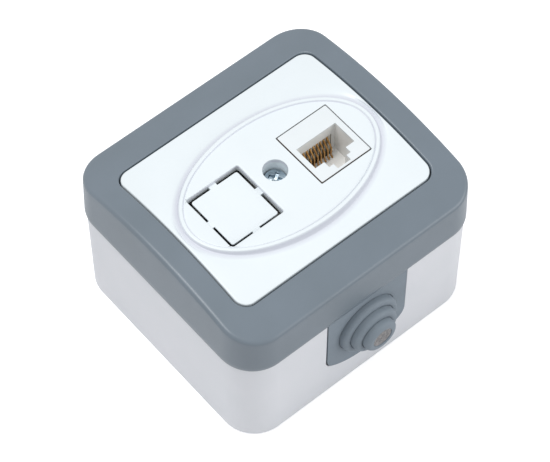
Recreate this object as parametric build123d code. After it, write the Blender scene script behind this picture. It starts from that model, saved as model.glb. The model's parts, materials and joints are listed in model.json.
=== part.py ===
from build123d import *
import math
import os

# Surface-mounted network socket: a splashproof wall box with a screwed cover plate and one 8-way jack.
# Millimetres. The socket lies on its back: the origin is the centre of the flat back, +Z points out of
# the face, and the cable entry is in the -Y wall.

# Whole socket
FACE_Z = 45.8            # height of the flat field of the cover plate above the wall
CROWN_RADIUS = 118.0     # frame and plate are bowed across Y to this radius
SEAT_GAP = 0.15          # clearance between a moulded part and the part that it slides into

# Mounting box
BOX_HALF_X = 35.1
BOX_HALF_Y = 32.4
BOX_CORNER = 9.0
BOX_DRAFT = 0.4          # degrees, the outside narrows towards the wall
BOX_WALL = 2.6
BOX_FLOOR = 2.4
BOX_FOOT_BREAK = 0.6
FIXING_SPACING_X = 40.0
FIXING_SPACING_Y = 36.0
FIXING_HOLE = 4.6
FIXING_COLLAR = 9.0
FIXING_COLLAR_HEIGHT = 1.2

# Frame
FRAME_OVERHANG_X = 0.5   # how far the skirt stands out beyond the box
FRAME_OVERHANG_Y = 0.2
FRAME_BORDER_X = 7.05    # from the outside of the skirt to the cover plate
FRAME_BORDER_Y = 9.65
SKIRT_DEPTH = 15.4       # from the field of the cover plate down to the joint with the box
FRAME_DRAFT = 1.5        # degrees, the skirt narrows upwards
FRAME_PROUD = 0.1        # apex of the frame above the field of the plate
FRAME_TOP_WALL = 2.2
FRAME_EDGE_BREAK = 0.6
FRAME_LIP_BREAK = 0.3
SKIRT_WALL = 1.4
SKIRT_LIFT = 0.05        # joint line between skirt and box
COLLAR_WALL = 1.4
LEDGE_WIDTH = 2.0
LEDGE_WALL = 1.4
RIB_INSET = 0.2          # sealing rib, from the outside of the neck of the box
RIB_WIDTH = 1.0

# Seal between box rim and frame
SEAL_HEIGHT = 0.8
SEAL_INSET = 0.25
SEAL_WIDTH = 0.9
SEAL_ROOM = 0.6          # left above the seal, under the top of the frame

# Cover plate
PLATE_CORNER = 3.2
PLATE_GAP = 0.4
PLATE_RIM_DEPTH = 4.6
PLATE_RIM_WALL = 1.6
PLATE_SKIN = 1.8
PLATE_EDGE_BREAK = 0.25
FIELD_Y = -1.5           # centre line of the oval field and both module windows
OVAL_MARGIN_X = 3.05     # from the crest of the bead round the field to the plate's edge
OVAL_MARGIN_Y = 5.35
BEAD_HEIGHT = 0.35
BEAD_HALF_WIDTH = 0.45
BEAD_FLANK = 1.2
BEAD_FLANK_DEPTH = 2.2
BEAD_INNER_WIDTH = 0.5

# Module windows
MODULE_X = 13.25         # both windows, either side of the screw
MODULE_WIDTH = 14.8
MODULE_LENGTH = 16.16
WINDOW_GAP = 0.2
BLANK_DEPTH = 1.0
BLANK_SLOT = 1.05
BLANK_WEB = 2.0
BLANK_CORNER = 0.5

# Cover screw and its insert
SCREW_WELL = 6.0
SCREW_WELL_DEPTH = 3.0
SCREW_HEAD = 5.5
SCREW_HEAD_HEIGHT = 1.8
SCREW_HEAD_BREAK = 0.6
SCREW_SHANK = 2.9
SCREW_POINT_BREAK = 0.4
SCREW_CLEARANCE = 0.25
SCREW_TUBE = 9.0
SCREW_TUBE_FLOOR = 1.5
SCREW_LENGTH = 9.5
CROSS_WIDTH = 0.9
CROSS_SPAN = 3.2
CROSS_DEPTH = 1.2
CROSS_TURN = 30.0        # degrees
INSERT_DIAMETER = 4.6
INSERT_LENGTH = 5.8
INSERT_SINK = 0.2
THREAD_GAP = 0.05

# Carrier
CARRIER_END_GAP = 0.9    # between the carrier and the inside of the box
CARRIER_CORNER = 5.0
CARRIER_WALL = 2.0
CARRIER_DEPTH = 10.0
CARRIER_RIM = 1.4
CARRIER_RIM_HEIGHT = 1.2
BOSS_INSET = 4.6         # screw centres, from the edges of the carrier
BOSS_DIAMETER = 7.0
BOSS_RIB = 1.6
FIXING_SCREW_HEAD = 5.2
FIXING_HEAD_GAP = 0.3    # from a carrier screw to the rims round the module windows
FIXING_SCREW_HEAD_HEIGHT = 1.7
FIXING_SCREW_SHANK = 2.8
FIXING_SCREW_LENGTH = 9.0

# Jack
JACK_DEPTH = 14.6
JACK_CORNER = 0.4
JACK_FACE_ROUND = 0.2
PORT_X = -0.03           # centre of the plug opening, from the jack's centre
PORT_WIDTH = 11.75
PORT_LOW_Y = 4.07        # from the jack's -Y edge
PORT_HIGH_Y = 10.83
PORT_DEPTH = 9.9
FLOOR_SLOT = 0.7         # open strip of the floor beside the springs
KEY_WIDTH = 6.5
KEY_LOW_Y = 2.3
TAB_WIDTH = 3.9
TAB_LOW_Y = 0.75
SHOULDER = 0.9
SHOULDER_HEIGHT = 1.2
HOOK = 0.7
HOOK_HEIGHT = 1.5
LUG_WIDTH = 8.0
COMB_WIDTH = 9.4
COMB_WALL_LIP = 3.4
COMB_DEPTH = 2.6
COMB_SHORT = 0.2
COMB_CUT = 1.5
CONTACTS = 8
CONTACT_PITCH = 1.02
CONTACT_WIDTH = 0.5
CONTACT_THICK = 0.3
CONTACT_SLOT = 0.66
CONTACT_BEND = 0.45
CONTACT_TOP_Z = -3.8     # heights from the face, places from the +Y edge of the plug opening
CONTACT_CREST_Y = 0.4
CONTACT_KNEE_Y = -1.5
CONTACT_KNEE_Z = -6.4
CONTACT_FOOT_Z = -9.1
CONTACT_TIP_Y = -2.2
CONTACT_TIP_Z = -9.6

# Board, terminals and cap behind the jack
BOARD_HALF_X = 9.5
BOARD_HALF_Y = 10.0
BOARD_WALL = 1.6
BOARD_CORNER = 1.0
BLOCK_HALF_X = 8.2
BLOCK_HALF_Y = 6.6
BLOCK_HEIGHT = 9.5
BLOCK_WAIST = 2.4
BLOCK_CORNER = 0.5
TERMINAL_PITCH = 3.6
TERMINAL_SLOT = 1.0
TERMINAL_SLOT_DEPTH = 6.5
TERMINAL_WIDTH = 3.0
BLADE_THICK = 0.4
BLADE_NOTCH = 0.4
BLADE_NOTCH_DEPTH = 3.5
BLADE_SHORT = 1.0
CAP_WALL = 1.2
CAP_HEIGHT = 5.5
CAP_CORNER = 1.0

# Cable grommet
GROMMET_X = 0.3          # the cable entry sits a little towards the jack
GROMMET_HALF_X = 12.0
GROMMET_BOTTOM_Z = 7.7
GROMMET_BOTTOM_RADIUS = 18.0
GROMMET_CORNER = 4.0
GROMMET_LIP = 1.5
GROMMET_LIP_WALL = 1.2
CONE_Z = 19.9
CONE_FOOT_RADIUS = 8.4
CONE_MIDDLE_RADIUS = 6.6
CONE_TIP_RADIUS = 4.7
CONE_STEP_HEIGHT = 1.93
CONE_SHOULDER_BREAK = 0.6
CONE_WALL = 1.2
TIP_RECESS_RADIUS = 2.7
TIP_RECESS_DEPTH = 0.4

EPS = 0.01
OVERCUT = 2.0            # how far a cutting tool runs on past the face that it cuts

FRAME_HALF_X = BOX_HALF_X + FRAME_OVERHANG_X
FRAME_HALF_Y = BOX_HALF_Y + FRAME_OVERHANG_Y
FRAME_CORNER = BOX_CORNER + FRAME_OVERHANG_Y
SKIRT_HALF_X = FRAME_HALF_X - SKIRT_WALL
SKIRT_HALF_Y = FRAME_HALF_Y - SKIRT_WALL
SKIRT_CORNER = FRAME_CORNER - SKIRT_WALL
NECK_HALF_X = SKIRT_HALF_X - SEAT_GAP
NECK_HALF_Y = SKIRT_HALF_Y - SEAT_GAP
NECK_CORNER = SKIRT_CORNER - SEAT_GAP
CAVITY_HALF_X = BOX_HALF_X - BOX_WALL
CAVITY_HALF_Y = BOX_HALF_Y - BOX_WALL
CAVITY_CORNER = BOX_CORNER - BOX_WALL
FRAME_BOTTOM_Z = FACE_Z - SKIRT_DEPTH
SHOULDER_Z = FRAME_BOTTOM_Z - SKIRT_LIFT
FRAME_APEX = FACE_Z + FRAME_PROUD
CROWN_AXIS_Z = FRAME_APEX - CROWN_RADIUS
SEAL_CEILING_Z = CROWN_AXIS_Z + math.sqrt((CROWN_RADIUS - FRAME_TOP_WALL) ** 2 - SKIRT_HALF_Y ** 2)
BOX_RIM_Z = SEAL_CEILING_Z - SEAL_ROOM - SEAL_HEIGHT
CLEAR_Z = FACE_Z + OVERCUT
PLATE_HALF_X = FRAME_HALF_X - FRAME_BORDER_X
PLATE_HALF_Y = FRAME_HALF_Y - FRAME_BORDER_Y
OVAL_A = PLATE_HALF_X - OVAL_MARGIN_X
OVAL_B = PLATE_HALF_Y - OVAL_MARGIN_Y
PLATE_RIM_Z = FACE_Z - PLATE_RIM_DEPTH
WINDOW_HALF_X = PLATE_HALF_X + PLATE_GAP
WINDOW_HALF_Y = PLATE_HALF_Y + PLATE_GAP
WINDOW_CORNER = PLATE_CORNER + PLATE_GAP
HEAD_TOP_Z = FACE_Z - SCREW_WELL_DEPTH
HEAD_SEAT_Z = HEAD_TOP_Z - SCREW_HEAD_HEIGHT
TUBE_BOTTOM_Z = HEAD_SEAT_Z - SCREW_TUBE_FLOOR
INSERT_BOTTOM_Z = TUBE_BOTTOM_Z - INSERT_SINK - INSERT_LENGTH
CARRIER_TOP_Z = FACE_Z - CARRIER_DEPTH
CARRIER_BOTTOM_Z = CARRIER_TOP_Z - CARRIER_WALL
CARRIER_HALF_X = CAVITY_HALF_X - CARRIER_END_GAP
RIM_HALF_Y = MODULE_LENGTH / 2 + SEAT_GAP + SHOULDER + SEAT_GAP + CARRIER_RIM
BOSS_X = CARRIER_HALF_X - BOSS_INSET
BOSS_Y = RIM_HALF_Y + FIXING_HEAD_GAP + FIXING_SCREW_HEAD / 2
CARRIER_HALF_Y = BOSS_Y + BOSS_INSET
CONE_RADII = (CONE_FOOT_RADIUS, CONE_MIDDLE_RADIUS, CONE_TIP_RADIUS)
JACK_BOTTOM_Z = FACE_Z - JACK_DEPTH
JACK_LOW_Y = FIELD_Y - MODULE_LENGTH / 2
PORT_CENTRE_X = MODULE_X + PORT_X
PORT_TOP_Y = JACK_LOW_Y + PORT_HIGH_Y
BOARD_BOTTOM_Z = JACK_BOTTOM_Z - BOARD_WALL
BLOCK_BOTTOM_Z = BOARD_BOTTOM_Z - BLOCK_HEIGHT


def slab(half_x, half_y, corner, low_z, high_z, x=0.0, y=0.0):
    """A block with rounded upright corners between two heights."""
    outline = Pos(x, y, low_z) * RectangleRounded(2 * half_x, 2 * half_y, corner)
    return extrude(outline, high_z - low_z)


def brick(low_x, high_x, low_y, high_y, low_z, high_z):
    """A square-edged block between its two extreme corners."""
    centre = Pos((low_x + high_x) / 2, (low_y + high_y) / 2, (low_z + high_z) / 2)
    return centre * Box(high_x - low_x, high_y - low_y, high_z - low_z)


def pillar(diameter, low_z, high_z, x=0.0, y=0.0):
    """An upright round bar or bore."""
    return Pos(x, y, (low_z + high_z) / 2) * Cylinder(diameter / 2, high_z - low_z)


def below_crown(apex_z, inset=0.0):
    """The space under the bowed face: a cylinder along X whose top line is at the apex height."""
    axis_z = apex_z - CROWN_RADIUS
    return Pos(0, 0, axis_z) * Rot(0, 90, 0) * Cylinder(CROWN_RADIUS - inset, 2 * (FRAME_HALF_X + OVERCUT))


def edges_near(solid, z_test, half_x, half_y, margin=0.6):
    """Edges whose centre is high enough and lies on an outline of the given half sizes."""
    found = []
    for edge in solid.edges():
        box = edge.bounding_box()
        middle = edge.center()
        far_x = max(abs(box.min.X), abs(box.max.X)) > half_x - margin
        far_y = max(abs(box.min.Y), abs(box.max.Y)) > half_y - margin
        inside = abs(middle.X) < half_x + margin and abs(middle.Y) < half_y + margin
        if middle.Z > z_test and inside and (far_x or far_y):
            found.append(edge)
    return found


def grommet_outline(clearance):
    """U-shaped outline of the grommet plate in the XZ plane, open end above the rim of the box."""
    half = GROMMET_HALF_X + clearance
    radius = GROMMET_BOTTOM_RADIUS + clearance
    low = GROMMET_BOTTOM_Z - clearance
    side_z = low + radius - math.sqrt(radius ** 2 - half ** 2)
    sides = Polyline((-half, side_z), (-half, BOX_RIM_Z), (half, BOX_RIM_Z), (half, side_z))
    bottom = ThreePointArc((half, side_z), (0, low), (-half, side_z))
    face = make_face(sides + bottom)
    corners = [v for v in face.vertices() if v.Y < side_z + EPS]
    return Pos(GROMMET_X, 0) * fillet(corners, GROMMET_CORNER)


def upright_plate(outline, outer_y, thickness):
    """A plate standing in the XZ plane with its outer face at -Y = outer_y."""
    plane = Plane(origin=(0, -outer_y, 0), x_dir=(1, 0, 0), z_dir=(0, -1, 0))
    return extrude(plane * outline, -thickness)


def mounting_box():
    outline = Pos(0, 0, SHOULDER_Z) * RectangleRounded(2 * BOX_HALF_X, 2 * BOX_HALF_Y, BOX_CORNER)
    body = extrude(outline, -SHOULDER_Z, taper=BOX_DRAFT)
    body = chamfer(body.faces().sort_by(Axis.Z)[0].edges(), BOX_FOOT_BREAK)
    body += slab(NECK_HALF_X, NECK_HALF_Y, NECK_CORNER, SHOULDER_Z - EPS, BOX_RIM_Z)
    body -= slab(CAVITY_HALF_X, CAVITY_HALF_Y, CAVITY_CORNER, BOX_FLOOR, CLEAR_Z)
    for side in (-1, 1):
        x = side * BOSS_X
        y = FIELD_Y + side * BOSS_Y
        post = pillar(BOSS_DIAMETER, BOX_FLOOR - EPS, CARRIER_BOTTOM_Z, x, y)
        rib = Pos(side * (BOSS_X + CAVITY_HALF_X) / 2, y, (BOX_FLOOR + CARRIER_BOTTOM_Z) / 2)
        rib_length = CAVITY_HALF_X - BOSS_X + 2 * EPS
        post += rib * Box(rib_length, BOSS_RIB, CARRIER_BOTTOM_Z - BOX_FLOOR)
        pilot = FIXING_SCREW_SHANK + 2 * THREAD_GAP
        body += post
        body -= pillar(pilot, CARRIER_TOP_Z - FIXING_SCREW_LENGTH - OVERCUT, CLEAR_Z, x, y)
    for x in (-FIXING_SPACING_X / 2, FIXING_SPACING_X / 2):
        for y in (-FIXING_SPACING_Y / 2, FIXING_SPACING_Y / 2):
            body += pillar(FIXING_COLLAR, BOX_FLOOR - EPS, BOX_FLOOR + FIXING_COLLAR_HEIGHT, x, y)
            body -= pillar(FIXING_HOLE, -OVERCUT, BOX_FLOOR + FIXING_COLLAR_HEIGHT + OVERCUT, x, y)
    gate_half = GROMMET_HALF_X + SEAT_GAP
    gate = upright_plate(grommet_outline(SEAT_GAP), BOX_HALF_Y + OVERCUT, BOX_WALL + 2 * OVERCUT)
    open_end = Pos(GROMMET_X, BOX_RIM_Z) * Rectangle(2 * gate_half, OVERCUT)
    return body - gate - upright_plate(open_end, BOX_HALF_Y + OVERCUT, BOX_WALL + 2 * OVERCUT)


def stepped_cone(inset, start_y, shoulder_break):
    """Concentric steps that stand out from the grommet plate, each narrower than the one below."""
    cone = None
    for index, radius in enumerate(CONE_RADII):
        end_y = -BOX_HALF_Y - CONE_STEP_HEIGHT * (index + 1) + inset
        place = Pos(GROMMET_X, (start_y + end_y) / 2, CONE_Z) * Rot(90, 0, 0)
        step = place * Cylinder(radius - inset, start_y - end_y)
        if shoulder_break:
            step = chamfer(step.edges().sort_by(Axis.Y)[0], shoulder_break)
        cone = step if cone is None else cone + step
    return cone


def cable_grommet():
    plate = upright_plate(grommet_outline(0), BOX_HALF_Y, BOX_WALL + SEAT_GAP)
    neck_y = -NECK_HALF_Y
    plate -= brick(-BOX_HALF_X, BOX_HALF_X, -BOX_HALF_Y - OVERCUT, neck_y, SHOULDER_Z, CLEAR_Z)
    lip_face_y = CAVITY_HALF_Y - SEAT_GAP
    body = plate + upright_plate(grommet_outline(GROMMET_LIP), lip_face_y, GROMMET_LIP_WALL)
    body += stepped_cone(0, -BOX_HALF_Y + BOX_WALL / 2, CONE_SHOULDER_BREAK)
    body -= stepped_cone(CONE_WALL, -lip_face_y + GROMMET_LIP_WALL + OVERCUT, 0)
    tip_y = -BOX_HALF_Y - CONE_STEP_HEIGHT * len(CONE_RADII)
    recess = Pos(GROMMET_X, tip_y, CONE_Z) * Rot(90, 0, 0)
    return body - recess * Cylinder(TIP_RECESS_RADIUS, 2 * TIP_RECESS_DEPTH)


def neck_ring(inset, width, low_z, high_z):
    """A ring that follows the neck of the box, its outside inset from the neck's."""
    inner = inset + width
    ring = slab(NECK_HALF_X - inset, NECK_HALF_Y - inset, NECK_CORNER - inset, low_z, high_z)
    return ring - slab(NECK_HALF_X - inner, NECK_HALF_Y - inner, NECK_CORNER - inner, 0, CLEAR_Z)


def box_seal():
    return neck_ring(SEAL_INSET, SEAL_WIDTH, BOX_RIM_Z, BOX_RIM_Z + SEAL_HEIGHT)


def frame():
    outline = Pos(0, 0, FRAME_BOTTOM_Z) * RectangleRounded(2 * FRAME_HALF_X, 2 * FRAME_HALF_Y, FRAME_CORNER)
    body = extrude(outline, FRAME_APEX + OVERCUT - FRAME_BOTTOM_Z, taper=FRAME_DRAFT)
    body = body & below_crown(FRAME_APEX)
    top = body.faces().sort_by(Axis.Z)[-1]
    body = chamfer(top.edges(), FRAME_EDGE_BREAK)
    hollow = slab(SKIRT_HALF_X, SKIRT_HALF_Y, SKIRT_CORNER, 0, CLEAR_Z)
    hollow = hollow & below_crown(FRAME_APEX, FRAME_TOP_WALL)
    body -= hollow
    rib = neck_ring(RIB_INSET, RIB_WIDTH, BOX_RIM_Z + SEAL_HEIGHT, CLEAR_Z)
    ledge_z = PLATE_RIM_Z - LEDGE_WALL
    collar_corner = WINDOW_CORNER + COLLAR_WALL
    collar = slab(WINDOW_HALF_X + COLLAR_WALL, WINDOW_HALF_Y + COLLAR_WALL, collar_corner, ledge_z, CLEAR_Z)
    inside = (rib + collar) & below_crown(FRAME_APEX, FRAME_TOP_WALL / 2)
    body += inside
    body -= slab(WINDOW_HALF_X, WINDOW_HALF_Y, WINDOW_CORNER, PLATE_RIM_Z, CLEAR_Z)
    body -= slab(WINDOW_HALF_X - LEDGE_WIDTH, WINDOW_HALF_Y - LEDGE_WIDTH,
                 WINDOW_CORNER - LEDGE_WIDTH, 0, CLEAR_Z)
    lip_z = FRAME_APEX - (FRAME_HALF_Y ** 2) / (2 * CROWN_RADIUS)
    lip = edges_near(body, lip_z, WINDOW_HALF_X, WINDOW_HALF_Y, 0.1)
    return chamfer(lip, FRAME_LIP_BREAK)


def cover_plate():
    body = slab(PLATE_HALF_X, PLATE_HALF_Y, PLATE_CORNER, PLATE_RIM_Z, CLEAR_Z)
    body = body & below_crown(FACE_Z)
    body = chamfer(body.faces().sort_by(Axis.Z)[-1].edges(), PLATE_EDGE_BREAK)
    crest_z = FACE_Z + BEAD_HEIGHT
    foot_z = crest_z - BEAD_FLANK_DEPTH
    wide = BEAD_HALF_WIDTH + BEAD_FLANK
    foot = Pos(0, FIELD_Y, foot_z) * Ellipse(OVAL_A + wide, OVAL_B + wide)
    crest = Pos(0, FIELD_Y, crest_z) * Ellipse(OVAL_A + BEAD_HALF_WIDTH, OVAL_B + BEAD_HALF_WIDTH)
    oval = loft([foot, crest])
    inner_a = OVAL_A - BEAD_HALF_WIDTH
    inner_b = OVAL_B - BEAD_HALF_WIDTH
    dish_low = Pos(0, FIELD_Y, FACE_Z) * Ellipse(inner_a - BEAD_INNER_WIDTH, inner_b - BEAD_INNER_WIDTH)
    dish_high = Pos(0, FIELD_Y, crest_z) * Ellipse(inner_a, inner_b)
    oval -= loft([dish_low, dish_high])
    body += oval
    field_cut = Pos(0, FIELD_Y, FACE_Z) * Ellipse(inner_a - BEAD_INNER_WIDTH, inner_b - BEAD_INNER_WIDTH)
    body -= extrude(field_cut, OVERCUT)
    hollow = slab(PLATE_HALF_X - PLATE_RIM_WALL, PLATE_HALF_Y - PLATE_RIM_WALL,
                  PLATE_CORNER - PLATE_RIM_WALL, 0, CLEAR_Z)
    body -= hollow & below_crown(FACE_Z, PLATE_SKIN)
    tube = pillar(SCREW_TUBE, TUBE_BOTTOM_Z, FACE_Z - PLATE_SKIN / 2)
    body += tube
    body -= pillar(SCREW_WELL, HEAD_SEAT_Z, CLEAR_Z)
    body -= pillar(SCREW_SHANK + 2 * SCREW_CLEARANCE, 0, CLEAR_Z)
    half_w = MODULE_WIDTH / 2 + WINDOW_GAP
    half_l = MODULE_LENGTH / 2 + WINDOW_GAP
    body -= slab(half_w, half_l, JACK_CORNER + WINDOW_GAP, 0, CLEAR_Z, MODULE_X, FIELD_Y)
    panel_z = FACE_Z - BLANK_DEPTH
    body -= slab(half_w, half_l, BLANK_CORNER, panel_z, CLEAR_Z, -MODULE_X, FIELD_Y)
    slots = slab(half_w, half_l, BLANK_CORNER, 0, CLEAR_Z, -MODULE_X, FIELD_Y)
    slots -= slab(half_w - BLANK_SLOT, half_l - BLANK_SLOT, BLANK_CORNER, 0, CLEAR_Z, -MODULE_X, FIELD_Y)
    slots -= Pos(-MODULE_X, FIELD_Y, CLEAR_Z / 2) * Box(2 * half_w + OVERCUT, BLANK_WEB, CLEAR_Z + OVERCUT)
    slots -= Pos(-MODULE_X, FIELD_Y, CLEAR_Z / 2) * Box(BLANK_WEB, 2 * half_l + OVERCUT, CLEAR_Z + OVERCUT)
    return body - slots


def cross_recess(top_z, x=0.0, y=0.0):
    """Cross-shaped driver recess."""
    arm = Box(CROSS_SPAN, CROSS_WIDTH, 2 * CROSS_DEPTH) + Box(CROSS_WIDTH, CROSS_SPAN, 2 * CROSS_DEPTH)
    return Pos(x, y, top_z) * Rot(0, 0, CROSS_TURN) * arm


def cover_screw():
    head = pillar(SCREW_HEAD, HEAD_SEAT_Z, HEAD_TOP_Z)
    head = chamfer(head.edges().sort_by(Axis.Z)[-1], SCREW_HEAD_BREAK)
    shank = pillar(SCREW_SHANK, HEAD_SEAT_Z - SCREW_LENGTH, HEAD_SEAT_Z + EPS)
    shank = chamfer(shank.edges().sort_by(Axis.Z)[0], SCREW_POINT_BREAK)
    return head + shank - cross_recess(HEAD_TOP_Z)


def threaded_insert():
    body = pillar(INSERT_DIAMETER, INSERT_BOTTOM_Z, INSERT_BOTTOM_Z + INSERT_LENGTH)
    return body - pillar(SCREW_SHANK + 2 * THREAD_GAP, 0, CLEAR_Z)


def carrier():
    body = slab(CARRIER_HALF_X, CARRIER_HALF_Y, CARRIER_CORNER, CARRIER_BOTTOM_Z, CARRIER_TOP_Z, 0, FIELD_Y)
    half_w = MODULE_WIDTH / 2 + SEAT_GAP
    half_l = MODULE_LENGTH / 2 + SEAT_GAP
    for side in (-1, 1):
        wall = slab(half_w + CARRIER_RIM, RIM_HALF_Y, CARRIER_RIM,
                    CARRIER_TOP_Z - EPS, CARRIER_TOP_Z + CARRIER_RIM_HEIGHT, side * MODULE_X, FIELD_Y)
        body += wall
    body += pillar(SCREW_TUBE, INSERT_BOTTOM_Z, TUBE_BOTTOM_Z)
    for side in (-1, 1):
        body -= slab(half_w, half_l + SHOULDER + SEAT_GAP, JACK_CORNER, CARRIER_TOP_Z, CLEAR_Z,
                     side * MODULE_X, FIELD_Y)
        body -= slab(half_w, half_l, JACK_CORNER, 0, CLEAR_Z, side * MODULE_X, FIELD_Y)
        body -= pillar(FIXING_SCREW_SHANK + 2 * SCREW_CLEARANCE, 0, CLEAR_Z,
                       side * BOSS_X, FIELD_Y + side * BOSS_Y)
    body -= pillar(INSERT_DIAMETER, INSERT_BOTTOM_Z, CLEAR_Z)
    return body - pillar(SCREW_SHANK + 2 * SCREW_CLEARANCE, 0, CLEAR_Z)


def carrier_screws():
    screws = []
    for side in (-1, 1):
        head_z = CARRIER_TOP_Z + FIXING_SCREW_HEAD_HEIGHT
        x = side * BOSS_X
        y = FIELD_Y + side * BOSS_Y
        head = pillar(FIXING_SCREW_HEAD, CARRIER_TOP_Z, head_z, x, y)
        head = chamfer(head.edges().sort_by(Axis.Z)[-1], SCREW_HEAD_BREAK)
        low = CARRIER_TOP_Z - FIXING_SCREW_LENGTH
        shank = pillar(FIXING_SCREW_SHANK, low, CARRIER_TOP_Z + EPS, x, y)
        screws.append(head + shank - cross_recess(head_z, x, y))
    return Compound(children=screws)


def port_space(low_z, high_z):
    """Plug opening with its stepped latch keyway."""
    x = PORT_CENTRE_X
    y = JACK_LOW_Y
    space = brick(x - PORT_WIDTH / 2, x + PORT_WIDTH / 2, y + PORT_LOW_Y, y + PORT_HIGH_Y, low_z, high_z)
    space += brick(x - KEY_WIDTH / 2, x + KEY_WIDTH / 2, y + KEY_LOW_Y, y + PORT_HIGH_Y, low_z, high_z)
    space += brick(x - TAB_WIDTH / 2, x + TAB_WIDTH / 2, y + TAB_LOW_Y, y + PORT_HIGH_Y, low_z, high_z)
    return space


def jack_housing():
    body = slab(MODULE_WIDTH / 2, MODULE_LENGTH / 2, JACK_CORNER, JACK_BOTTOM_Z, FACE_Z, MODULE_X, FIELD_Y)
    body = fillet(body.faces().sort_by(Axis.Z)[-1].edges(), JACK_FACE_ROUND)
    for side in (-1, 1):
        edge_y = FIELD_Y + side * MODULE_LENGTH / 2
        shoulder_z = CARRIER_TOP_Z + SHOULDER_HEIGHT / 2
        body += Pos(MODULE_X, edge_y, shoulder_z) * Box(LUG_WIDTH, 2 * SHOULDER, SHOULDER_HEIGHT)
        hook_high = CARRIER_BOTTOM_Z - SEAT_GAP
        hook = Polyline((edge_y - side, hook_high), (edge_y + side * HOOK, hook_high),
                        (edge_y, hook_high - HOOK_HEIGHT), (edge_y - side, hook_high - HOOK_HEIGHT),
                        close=True)
        hook_plane = Plane(origin=(MODULE_X - LUG_WIDTH / 2, 0, 0), x_dir=(0, 1, 0), z_dir=(1, 0, 0))
        body += extrude(hook_plane * make_face(hook), LUG_WIDTH)
    body -= port_space(FACE_Z - PORT_DEPTH, CLEAR_Z)
    half = COMB_WIDTH / 2 + SEAT_GAP
    low_x = PORT_CENTRE_X - half
    high_x = PORT_CENTRE_X + half
    pocket_high_y = PORT_TOP_Y + COMB_DEPTH + 2 * SEAT_GAP
    body -= brick(low_x, high_x, PORT_TOP_Y - EPS, pocket_high_y, 0, FACE_Z - COMB_WALL_LIP)
    return body - brick(low_x, high_x, PORT_TOP_Y - FLOOR_SLOT, PORT_TOP_Y, 0, FACE_Z - PORT_DEPTH + EPS)


def comb_block():
    """Insert that holds the row of contact springs on the +Y side of the plug opening."""
    low_y = PORT_TOP_Y + SEAT_GAP
    top = FACE_Z - COMB_WALL_LIP - COMB_SHORT
    half = COMB_WIDTH / 2
    body = brick(PORT_CENTRE_X - half, PORT_CENTRE_X + half, low_y, low_y + COMB_DEPTH, JACK_BOTTOM_Z, top)
    for index in range(CONTACTS):
        x = PORT_CENTRE_X + (index - (CONTACTS - 1) / 2) * CONTACT_PITCH
        half_slot = CONTACT_SLOT / 2
        body -= brick(x - half_slot, x + half_slot, low_y - OVERCUT, low_y + COMB_CUT, 0, CLEAR_Z)
    return body


def contact_spring(index):
    """One bent strip: up through the comb, out over its top, down the plug opening and out at its tip."""
    x = PORT_CENTRE_X + (index - (CONTACTS - 1) / 2) * CONTACT_PITCH
    back_y = PORT_TOP_Y + SEAT_GAP + COMB_CUT - CONTACT_THICK / 2
    path = FilletPolyline(
        (x, back_y, JACK_BOTTOM_Z),
        (x, back_y, FACE_Z + CONTACT_TOP_Z),
        (x, PORT_TOP_Y + CONTACT_CREST_Y, FACE_Z + CONTACT_TOP_Z),
        (x, PORT_TOP_Y + CONTACT_KNEE_Y, FACE_Z + CONTACT_KNEE_Z),
        (x, PORT_TOP_Y + CONTACT_KNEE_Y, FACE_Z + CONTACT_FOOT_Z),
        (x, PORT_TOP_Y + CONTACT_TIP_Y, FACE_Z + CONTACT_TIP_Z),
        radius=CONTACT_BEND)
    section = Plane(origin=(x, back_y, JACK_BOTTOM_Z), x_dir=(1, 0, 0), z_dir=(0, 0, 1))
    return sweep(section * Rectangle(CONTACT_WIDTH, CONTACT_THICK), path)


def jack_board():
    return slab(BOARD_HALF_X, BOARD_HALF_Y, BOARD_CORNER, BOARD_BOTTOM_Z, JACK_BOTTOM_Z, MODULE_X, FIELD_Y)


def terminal_centres():
    """Eight terminals in two rows of four behind the board."""
    for row in (-1, 1):
        for column in range(CONTACTS // 2):
            x = MODULE_X + (column - (CONTACTS // 2 - 1) / 2) * TERMINAL_PITCH
            yield x, FIELD_Y + row * (BLOCK_HALF_Y - TERMINAL_WIDTH / 2)


def terminal_block():
    body = slab(BLOCK_HALF_X, BLOCK_HALF_Y, BLOCK_CORNER, BLOCK_BOTTOM_Z, BOARD_BOTTOM_Z, MODULE_X, FIELD_Y)
    body -= Pos(MODULE_X, FIELD_Y, BLOCK_BOTTOM_Z) * Box(2 * BLOCK_HALF_X + OVERCUT, BLOCK_WAIST,
                                                      2 * TERMINAL_SLOT_DEPTH)
    for x, y in terminal_centres():
        body -= Pos(x, y, BLOCK_BOTTOM_Z) * Box(TERMINAL_SLOT, TERMINAL_WIDTH + 2 * EPS,
                                                2 * TERMINAL_SLOT_DEPTH)
        body -= Pos(x, y, BOARD_BOTTOM_Z) * Box(BLADE_THICK + 2 * THREAD_GAP,
                                                TERMINAL_WIDTH / 2 + 2 * THREAD_GAP, 2 * BLOCK_HEIGHT)
    return body


def terminal_blades():
    blades = []
    for x, y in terminal_centres():
        low = BLOCK_BOTTOM_Z + BLADE_SHORT
        blade = brick(x - BLADE_THICK / 2, x + BLADE_THICK / 2, y - TERMINAL_WIDTH / 4,
                      y + TERMINAL_WIDTH / 4, low, BOARD_BOTTOM_Z)
        blade -= Pos(x, y, low) * Box(TERMINAL_SLOT, BLADE_NOTCH, 2 * BLADE_NOTCH_DEPTH)
        blades.append(blade)
    return Compound(children=blades)


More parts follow.
